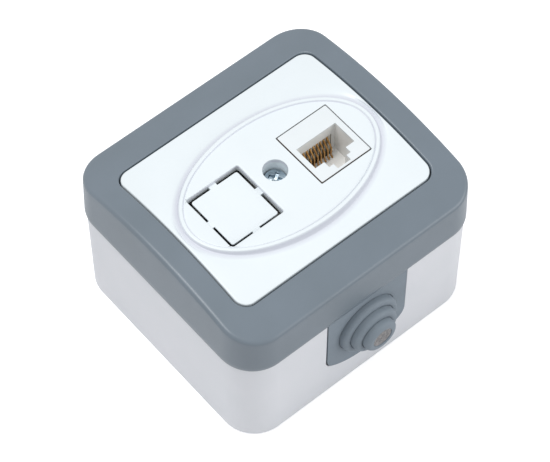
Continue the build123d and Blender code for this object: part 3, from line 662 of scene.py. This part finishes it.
def frame_surface():
    """The frame as one closed skin of loops carried round it.

    The side leans in by tan(draft) * height, meets the bowed top in a rolled edge, the top runs to the
    window on straight lines in plan, and the skin returns by lip, ledge, collar, rib and inner skirt.
    """
    base, out = rounded_outline(FRAME_HALF_X, FRAME_HALF_Y, FRAME_CORNER)
    z = np.full(len(base), FRAME_APEX)
    # The height at which the leaning side meets the bowed top settles within a few rounds
    for _ in range(8):
        rim = base - out * (FRAME_DRAFT * (z - FRAME_BOTTOM_Z))[:, None]
        z = crown(rim[:, 1], FRAME_APEX)
    lean = math.hypot(1, FRAME_DRAFT)
    side_normal = at_height(out, FRAME_DRAFT) / lean
    edge = rolled_edge(at_height(rim, z), side_normal, crown_normal(rim[:, 1]), FRAME_EDGE_ROUND)
    middle = FRAME_FOOT_ROUND * FOOT_MIDDLE
    foot = [at_height(base - out * FRAME_FOOT_ROUND, FRAME_BOTTOM_Z),
            at_height(base - out * middle, FRAME_BOTTOM_Z + middle),
            at_height(base, FRAME_BOTTOM_Z + FRAME_FOOT_ROUND)]
    side = between(foot[-1], edge[0], SKIRT_LOOPS)

    opening = np.array([PLATE_HALF_X, PLATE_HALF_Y, PLATE_CORNER]) + PLATE_GAP
    window, inward = rounded_outline(*opening)
    lip_corner = at_height(window, crown(window[:, 1], FRAME_APEX))
    lip = rolled_edge(lip_corner, crown_normal(window[:, 1]), at_height(-inward, 0.0), FRAME_LIP_ROUND)
    top = between(edge[-1], lip[0], TOP_LOOPS)
    for loop in top:
        loop[:, 2] = crown(loop[:, 1], FRAME_APEX)

    ledge_z = PLATE_RIM_Z - LEDGE_WALL
    ledge, _ = rounded_outline(*(opening - LEDGE_WIDTH))
    collar, _ = rounded_outline(*(opening + COLLAR_WALL))
    inner = [at_height(window, PLATE_RIM_Z), at_height(ledge, PLATE_RIM_Z), at_height(ledge, ledge_z),
             at_height(collar, ledge_z),
             at_height(collar, crown(collar[:, 1], FRAME_APEX, FRAME_TOP_WALL))]
    for inset, low in ((RIB_INNER, False), (RIB_INNER, True), (RIB_OUTER, True), (RIB_OUTER, False),
                       (SKIRT_WALL, False)):
        loop = base - out * inset
        under = crown(loop[:, 1], FRAME_APEX, FRAME_TOP_WALL)
        inner.append(at_height(loop, RIB_BOTTOM_Z if low else under))
    inner.append(at_height(base - out * SKIRT_WALL, FRAME_BOTTOM_Z))
    return skin(foot + side + edge + top + lip + inner, closed=True)


def bead_height(offset, y):
    """Height of the plate's face across the oval bead, for the offset d from its crest.

    A smooth step rises from a fine groove, depth * exp(-((d - foot) / width)^2), to the crest. The
    flank then falls at a steady slope after a hyperbolic shoulder, (s + sqrt(s^2 + w^2)) / 2, and a
    smooth maximum joins it to the bowed plate, which dips by 1 - (y / B)^2 at the foot of the
    bead's two ends.
    """
    from_foot = offset - BEAD_FOOT
    groove = BEAD_GROOVE * math.exp(-(from_foot / BEAD_GROOVE_WIDTH) ** 2)
    rise = BEAD_RISE * smooth_step(from_foot / BEAD_RISE_RUN) - groove
    past = offset - BEAD_SHOULDER
    fall = BEAD_SLOPE * (past + math.hypot(past, BEAD_SOFTNESS)) / 2
    bead = FACE_Z + rise - fall * smooth_step((offset + BEAD_RISE_RUN) / BEAD_RISE_RUN)
    ends = 1 - np.minimum(((y - BEAD_Y) / BEAD_B) ** 2, 1)
    plate = crown(y, FACE_Z) - BEAD_DIP * ends * smooth_step(offset / BEAD_DIP_RUN)
    blend = FLANK_BLEND * smooth_step((offset - FLANK_BLEND_START) / FLANK_BLEND_RUN)
    return (bead + plate + np.sqrt((bead - plate) ** 2 + blend ** 2)) / 2


def cover_surface():
    """The plate's outer skin: ellipses over the bead, then straight lines in plan out to the edge.

    Each ellipse is (A + d) cos t, (B + d) sin t for an offset d from the crest, with t taken from
    the point of the outline that it runs to, so that the lines fan out evenly. On the way out, what
    is left of the flank's height above the bowed face fades by a smooth step.
    """
    outline, out = rounded_outline(PLATE_HALF_X, PLATE_HALF_Y, PLATE_CORNER)
    t = np.arctan2((outline[:, 1] - BEAD_Y) / BEAD_B, (outline[:, 0] - BEAD_X) / BEAD_A)
    loops = []
    for offset in np.linspace(BEAD_START, FLANK_END, BEAD_LOOPS):
        ring = np.column_stack([BEAD_X + (BEAD_A + offset) * np.cos(t),
                                BEAD_Y + (BEAD_B + offset) * np.sin(t)])
        loops.append(at_height(ring, bead_height(offset, ring[:, 1])))
    loops[0][:, 2] = FACE_Z
    corner = at_height(outline, crown(outline[:, 1], FACE_Z))
    edge = rolled_edge(corner, crown_normal(outline[:, 1]), at_height(out, 0.0), PLATE_EDGE_ROUND)
    plain = between(loops[-1], edge[0], TOP_LOOPS)
    for share, loop in zip(np.arange(1, TOP_LOOPS + 1) / (TOP_LOOPS + 1), plain):
        bowed = crown(loop[:, 1], FACE_Z)
        loop[:, 2] = bowed + (loop[:, 2] - bowed) * (1 - smooth_step(share * FLANK_FADE))
    return skin(loops + plain + edge + [at_height(outline, PLATE_RIM_Z)])


def cover_plate():
    """The plate: openings and inside from the solid, its bowed face, bead and edge as one skin.

    The flat field is filled in between the skin's first ellipse and the edges of its openings.
    """
    work = merged_node("cover_plate", jack_window_squared, blank_edge_thinned, blank_grown)
    straight_x = (PLATE_HALF_X - PLATE_CORNER) * MM
    straight_y = (PLATE_HALF_Y - PLATE_CORNER) * MM
    gone = []
    for face in work.faces:
        middle = face.calc_center_median()
        on_side = all(math.hypot(max(abs(v.co.x) - straight_x, 0), max(abs(v.co.y) - straight_y, 0))
                      > (PLATE_CORNER - NEARBY) * MM for v in face.verts)
        on_face = (max(v.co.z for v in face.verts) > (FACE_Z - NEARBY) * MM
                   or abs(middle.y) > OPENINGS_Y * MM or abs(middle.x) > OPENINGS_X * MM)
        if on_side or (face.normal.z > 0.2 and on_face):
            gone.append(face)
    bmesh.ops.delete(work, geom=gone, context="FACES")
    add_surface(work, *cover_surface())
    rims = [edge for edge in work.edges if len(edge.link_faces) == 1
            and all(abs(v.co.z - FACE_Z * MM) < 0.003 * MM for v in edge.verts)]
    bmesh.ops.triangle_fill(work, use_beauty=True, use_dissolve=False, edges=rims, normal=(0, 0, 1))
    recess = [edge for edge in rims
              if all(-OPENINGS_X * MM < v.co.x < RECESS_END_X * MM
                     and abs(v.co.y - FIELD_Y * MM) < RECESS_HALF_Y * MM for v in edge.verts)]
    bmesh.ops.bevel(work, geom=recess, offset=BLANK_RIM_ROUND * MM, segments=4, affect="EDGES",
                    profile=0.5)
    return finish_piece("cover_plate_finished", work, smooth_angle=32)


def rounded_turn(before, corner, after, radius, steps=6):
    """Points of a profile's corner rounded by a circle that touches both of its straight runs."""
    corner = np.array(corner, float)
    one = np.array(before, float) - corner
    two = np.array(after, float) - corner
    one /= np.linalg.norm(one)
    two /= np.linalg.norm(two)
    half = math.acos(float(one @ two)) / 2
    middle = (one + two) / np.linalg.norm(one + two)
    centre = corner + middle * radius / math.sin(half)
    start = corner + one * radius / math.tan(half) - centre
    end = corner + two * radius / math.tan(half) - centre
    sweep = math.acos(float(np.clip(start @ end / radius ** 2, -1, 1)))
    share = np.linspace(0, 1, steps)[:, None]
    arc = np.sin((1 - share) * sweep) * start + np.sin(share * sweep) * end
    return centre + arc / math.sin(sweep)


def rounded_profile(corners):
    """A profile of straight runs: each corner is (r, y, radius), rounded if it has a radius."""
    points = []
    for index, (r, y, radius) in enumerate(corners):
        if radius:
            before, after = corners[index - 1][:2], corners[index + 1][:2]
            points.extend(rounded_turn(before, (r, y), after, radius).tolist())
        else:
            points.append([r, y])
    return points


def cable_grommet():
    """The grommet: plate and inside from the solid, its cone a profile of revolution.

    Each step is a thick rounded ring: a narrow groove at its root, a short side and a wide round
    shoulder.
    """
    work = merged_node("cable_grommet", grommet_drawn_in)
    bmesh.ops.bisect_plane(work, geom=work.verts[:] + work.edges[:] + work.faces[:],
                           plane_co=(0, -CONE_CUT * MM, 0), plane_no=(0, -1, 0), clear_outer=True)
    corners = []
    for index, radius in enumerate(CONE_RADII):
        foot_y = -CONE_FRONT - CONE_STEP * index
        side = radius - CONE_SIDE_SINK
        # The first ring starts a hair inside the plate, the others in a rounded groove
        start_y, lip = (foot_y + 0.005, 0) if index == 0 else (foot_y, GROOVE_ROUND)
        corners += [(radius, start_y, lip), (radius - 0.02, foot_y + GROOVE_DEPTH, 0),
                    (side, foot_y + GROOVE_DEPTH, 0), (side, foot_y - CONE_STEP, CONE_SHOULDER)]
    floor_y = -CONE_TIP + TIP_RECESS_DEPTH
    corners += [(TIP_RECESS_RADIUS + 0.1, -CONE_TIP, TIP_EDGE_ROUND), (TIP_RECESS_RADIUS, floor_y, 0),
                (0, floor_y, 0), (0, -CONE_TIP + CONE_WALL, 0)]
    for index in (2, 1, 0):
        bore = CONE_RADII[index] - CONE_WALL
        start_y = -CONE_FRONT - CONE_STEP * (index + 1) + CONE_WALL
        end_y = -CONE_CUT if index == 0 else start_y + CONE_STEP
        corners += [(bore, start_y, 0), (bore, end_y, 0)]
    add_surface(work, *revolved(rounded_profile(corners), CONE_X, CONE_Z))
    return finish_piece("cable_grommet_finished", work, smooth_angle=38)


def grommet_tip():
    """The rough floor of the tip: a polar grid whose depth follows three crossed sine waves.

    The waves are sin(a x) sin(b z), sin(c (x + z)) and sin(d (x - z)), and they fade out at the edge.
    """
    rings = np.linspace(0.0, TIP_RECESS_RADIUS - 0.02, 26)[:, None]
    angle = np.arange(96)[None] / 96 * 2 * np.pi
    x = rings * np.cos(angle)
    z = rings * np.sin(angle)
    swell = (np.sin(8.6 * x + 1.0) * np.sin(7.9 * z) + 0.6 * np.sin(12.7 * (x + z))
             + 0.5 * np.sin(14.9 * (x - z) + 2))
    fade = smooth_step((TIP_RECESS_RADIUS - rings) / 0.5)
    y = -CONE_TIP + TIP_RECESS_DEPTH - 0.1 - TIP_SWELL * swell * fade
    grid = np.stack([CONE_X + x, np.broadcast_to(y, x.shape), CONE_Z + z], axis=-1)
    work = bmesh.new()
    add_surface(work, *skin(list(grid)))
    return finish_piece("grommet_tip_floor", work, smooth_angle=60)


def cover_screw():
    """Pan head with a cross recess on a polar grid, then side, seat and shank as loops round Z.

    The head is a dome, top - r^2 / (2 * dome radius), with a rounded rim. The recess sinks by a
    smooth step of the distance inside the turned cross, and its floor rises towards the ends of the
    arms.
    """
    angle = np.arange(SCREW_COLUMNS) / SCREW_COLUMNS * 2 * np.pi
    dome_edge = SCREW_RADIUS - SCREW_RIM_ROUND
    rings = np.linspace(0.0, dome_edge, 44)[:, None]
    x = rings * np.cos(angle)
    y = rings * np.sin(angle)
    u = np.abs(x * math.cos(CROSS_TURN) + y * math.sin(CROSS_TURN))
    v = np.abs(y * math.cos(CROSS_TURN) - x * math.sin(CROSS_TURN))
    arm = np.minimum(np.maximum(u - CROSS_SPAN / 2, v - CROSS_WIDTH / 2),
                     np.maximum(u - CROSS_WIDTH / 2, v - CROSS_SPAN / 2))
    floor = CROSS_DEPTH * (1 - CROSS_FLOOR_RISE * np.maximum(u, v) / (CROSS_SPAN / 2))
    dome = SCREW_TOP_Z - rings ** 2 / (2 * SCREW_DOME_RADIUS)
    z = dome - floor * smooth_step(0.5 - arm / CROSS_WALL_RUN)
    loops = list(np.stack([x, y, z], axis=-1))
    rim_z = SCREW_TOP_Z - dome_edge ** 2 / (2 * SCREW_DOME_RADIUS)
    profile = [(dome_edge + SCREW_RIM_ROUND * math.sin(a),
                rim_z - SCREW_RIM_ROUND * (math.cos(SCREW_RIM_START) - math.cos(a)))
               for a in np.linspace(SCREW_RIM_START, np.pi / 2, 7)]
    seat = SCREW_TOP_Z - SCREW_HEAD_HEIGHT
    profile += [(SCREW_RADIUS, seat), (SCREW_SHANK_RADIUS, seat),
                (SCREW_SHANK_RADIUS, SCREW_BOTTOM_Z + SCREW_POINT),
                (SCREW_SHANK_RADIUS - SCREW_POINT, SCREW_BOTTOM_Z), (0, SCREW_BOTTOM_Z)]
    ring = np.column_stack([np.cos(angle), np.sin(angle)])
    loops += [at_height(radius * ring, height) for radius, height in profile]
    work = bmesh.new()
    add_surface(work, *skin(loops))
    return finish_piece("cover_screw_finished", work, smooth_angle=50)


def contact_spring(index):
    """One contact: a flat strip with broken edges carried along its bent run.

    Each loop is the run's point plus the section, (across X, along the run's normal), and the ends close
    to a point. The free end leans a little sideways, each spring by its own sine.
    """
    x = PORT_X + (index - (CONTACTS + 1) / 2) * CONTACT_PITCH
    bends = [(PORT_TOP_Y + y, FACE_Z + z, CONTACT_BEND) for y, z in CONTACT_RUN]
    bends[0] = (*bends[0][:2], 0)
    bends[-1] = (*bends[-1][:2], 0)
    turns = np.array(rounded_profile(bends))
    travelled = np.concatenate([[0], np.cumsum(np.hypot(*np.diff(turns, axis=0).T))])
    steps = np.linspace(0, travelled[-1], CONTACT_STEPS)
    run = np.column_stack([np.interp(steps, travelled, turns[:, k]) for k in (0, 1)])
    tangent = np.gradient(run, axis=0)
    tangent /= np.linalg.norm(tangent, axis=1, keepdims=True)
    normal = np.column_stack([-tangent[:, 1], tangent[:, 0]])
    free = smooth_step((steps / travelled[-1] - CONTACT_FREE_FROM) / (1 - CONTACT_FREE_FROM))
    lean = CONTACT_LEAN * np.sin(2.4 * index + 5 * free) * free
    size = np.ones((len(steps), 1))
    size[[0, -1]] = 0
    across, deep = np.array(CONTACT_SECTION).T
    loops = np.stack([x + lean[:, None] + across * size,
                      run[:, :1] + normal[:, :1] * deep * size,
                      run[:, 1:] + normal[:, 1:] * deep * size], axis=-1)
    work = bmesh.new()
    add_surface(work, *skin(list(loops)))
    return finish_piece(f"contact_spring_{index}_finished", work, smooth_angle=40)


def dress_nodes(materials):
    """Every solid gets its material, and those seen up close a finished piece in its place."""
    slot_of = {part["node"]: part["material_slot"] for part in frame["record"]["subparts"]}
    for node, piece in frame["nodes"].items():
        piece.data.materials.clear()
        piece.data.materials.append(materials[slot_of[node]])

    work = bmesh.new()
    add_surface(work, *frame_surface())
    dress(finish_piece("frame_finished", work), materials["frame_abs"], "frame_abs", "frame")
    dress(cover_plate(), materials["cover_abs"], "cover_abs", "cover_plate")
    dress(cable_grommet(), materials["grommet_rubber"], "grommet_rubber", "cable_grommet")
    dress(grommet_tip(), materials["grommet_tip"], "grommet_rubber")
    dress(cover_screw(), materials["zinc_steel"], "zinc_steel", "cover_screw")
    for index in range(1, CONTACTS + 1):
        dress(contact_spring(index), materials["gold_wire"], "gold_wire", f"contact_spring_{index}")
    for node, edge_mm, rules in (("mounting_box", 0.25, ()), ("contact_comb", 0.05, ()),
                                 ("jack_housing", 0.08, (jack_outline_squared, jack_seated_aside))):
        piece = finish_piece(node + "_finished", merged_node(node, *rules), smooth_angle=30)
        broken_edges(piece, edge_mm)
        dress(piece, materials[slot_of[node]], slot_of[node], node)


def make_camera():
    """The camera at the photo's angle: level horizon, long lens, aimed by azimuth and elevation."""
    lens = bpy.data.cameras.new("camera")
    lens.sensor_width = SENSOR
    lens.lens = FOCAL_PIXELS / PHOTO_WIDTH * SENSOR
    lens.clip_start = 0.01
    lens.clip_end = 20
    camera = bpy.data.objects.new("camera", lens)
    bpy.context.scene.collection.objects.link(camera)
    azimuth = math.radians(CAMERA_AZIMUTH)
    elevation = math.radians(CAMERA_ELEVATION)
    back = Vector((math.sin(azimuth) * math.cos(elevation), -math.cos(azimuth) * math.cos(elevation),
                   math.sin(elevation)))
    camera.location = (Vector(CAMERA_AIM) + back * CAMERA_DISTANCE) * MM
    camera.rotation_mode = "QUATERNION"
    camera.rotation_quaternion = (-back).to_track_quat("-Z", "Y")
    bpy.context.scene.camera = camera


def area_light(name, place, aim, size, watts):
    """A round soft lamp that shines from its place towards its aim."""
    lamp = bpy.data.lights.new(name, "AREA")
    lamp.shape = "DISK"
    lamp.size = size
    lamp.energy = watts
    light = bpy.data.objects.new(name, lamp)
    light.location = place
    light.rotation_euler = (Vector(aim) - Vector(place)).to_track_quat("-Z", "Y").to_euler()
    bpy.context.scene.collection.objects.link(light)


def make_studio():
    """Pale floor, white surround and soft lamps at a plain level."""
    mesh = bpy.data.meshes.new("floor")
    corners = [(x * FLOOR_HALF, y * FLOOR_HALF, -FLOOR_DROP * MM)
               for x, y in ((-1, -1), (1, -1), (1, 1), (-1, 1))]
    mesh.from_pydata(corners, [], [(0, 1, 2, 3)])
    floor = bpy.data.objects.new("floor", mesh)
    bpy.context.scene.collection.objects.link(floor)
    material = bpy.data.materials.new("pale_floor")
    material.use_nodes = True
    tree = material.node_tree
    tree.nodes.clear()
    matt = add(tree, "ShaderNodeBsdfDiffuse", {"Color": colour("#F4F4F5")})
    glow = add(tree, "ShaderNodeEmission", {"Color": (1, 1, 1, 1), "Strength": FLOOR_GLOW})
    both = add(tree, "ShaderNodeAddShader", links={0: matt.outputs[0], 1: glow.outputs[0]})
    ray = add(tree, "ShaderNodeLightPath")
    seen = add(tree, "ShaderNodeMixShader",
               links={0: ray.outputs["Is Camera Ray"], 1: matt.outputs[0], 2: both.outputs[0]})
    add(tree, "ShaderNodeOutputMaterial", links={"Surface": seen.outputs[0]})
    mesh.materials.append(material)

    world = bpy.data.worlds.new("studio")
    bpy.context.scene.world = world
    world.use_nodes = True
    tree = world.node_tree
    tree.nodes.clear()
    ambient = add(tree, "ShaderNodeBackground",
                  {"Color": colour("#F7F9FC"), "Strength": AMBIENT_STRENGTH})
    white = add(tree, "ShaderNodeBackground", {"Color": (1, 1, 1, 1), "Strength": 1.0})
    ray = add(tree, "ShaderNodeLightPath")
    clear = add(tree, "ShaderNodeMath", operation="MAXIMUM",
                links={0: ray.outputs["Is Glossy Ray"], 1: ray.outputs["Is Transmission Ray"]})
    shown = add(tree, "ShaderNodeMath", operation="MAXIMUM",
                links={0: ray.outputs["Is Camera Ray"], 1: clear.outputs[0]})
    mix = add(tree, "ShaderNodeMixShader",
              links={0: shown.outputs[0], 1: ambient.outputs[0], 2: white.outputs[0]})
    add(tree, "ShaderNodeOutputWorld", links={"Surface": mix.outputs[0]})

    area_light("key", place=(-0.22, 0.15, 0.75), aim=(0, 0, 0.03), size=0.5, watts=3.5)
    area_light("fill", place=(0.5, -0.6, 0.4), aim=(0, 0, 0.02), size=0.6, watts=2.4)


bpy.context.scene.view_settings.view_transform = "Standard"
make_camera()
make_studio()
dress_nodes(make_materials())
